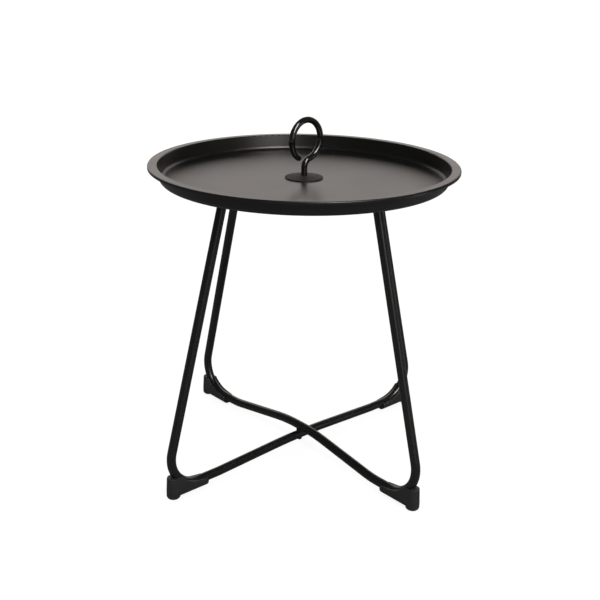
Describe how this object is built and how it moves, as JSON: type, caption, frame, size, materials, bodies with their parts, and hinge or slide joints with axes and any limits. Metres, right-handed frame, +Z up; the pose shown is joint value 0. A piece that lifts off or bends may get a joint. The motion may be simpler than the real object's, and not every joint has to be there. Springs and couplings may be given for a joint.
{
  "type": "folding tray table",
  "caption": "Round lift-off metal tray with a ring handle, standing on two crossed bent-tube frames that fold flat about a central pivot.",
  "frame": {"origin": "on the floor, under the axis of the round tray", "axes": "+Z up along the tray's axis; the outer frame and the ring handle lie along X, the inner frame along Y"},
  "size_m": [0.5092, 0.5092, 0.5276],
  "materials": {
    "tray_coat": "satin black powder coat",
    "handle_coat": "satin black powder coat",
    "frame_coat": "satin black powder coat",
    "shoe_plastic": "moulded black nylon, fine grain",
    "washer_nylon": "black nylon",
    "fixing_steel": "zinc-plated steel",
    "pivot_black": "black oxide steel"
  },
  "bodies": {
    "outer_frame": {"outer_frame_tube": "frame_coat", "outer_left_shoe": "shoe_plastic", "outer_right_shoe": "shoe_plastic", "outer_shoe_screws": "fixing_steel", "outer_leg_caps": "shoe_plastic", "outer_top_bar": "frame_coat", "top_pivot_eyelet": "fixing_steel", "top_pivot_washer": "washer_nylon", "lower_saddle_washer": "washer_nylon"},
    "inner_frame": {"inner_frame_tube": "frame_coat", "inner_front_shoe": "shoe_plastic", "inner_back_shoe": "shoe_plastic", "inner_shoe_screws": "fixing_steel", "inner_leg_caps": "shoe_plastic", "inner_top_bar": "frame_coat", "upper_saddle_washer": "washer_nylon", "pivot_screw": "pivot_black", "pivot_insert": "fixing_steel"},
    "tray": {"tray_pan": "tray_coat", "handle_ring": "handle_coat", "handle_flange": "handle_coat", "tray_washer": "fixing_steel", "handle_nut": "fixing_steel", "tray_clips": "tray_coat"}
  },
  "joints": [
    {"name": "frame_fold", "type": "hinge", "parent": "outer_frame", "child": "inner_frame", "pos_m": [0, 0, 0.0275], "axis": [0, 0, 1], "range_deg": [0, 82]},
    {"name": "tray_lift", "type": "slide", "parent": "outer_frame", "child": "tray", "axis": [0, 0, 1], "range_m": [0, 0.15]}
  ]
}
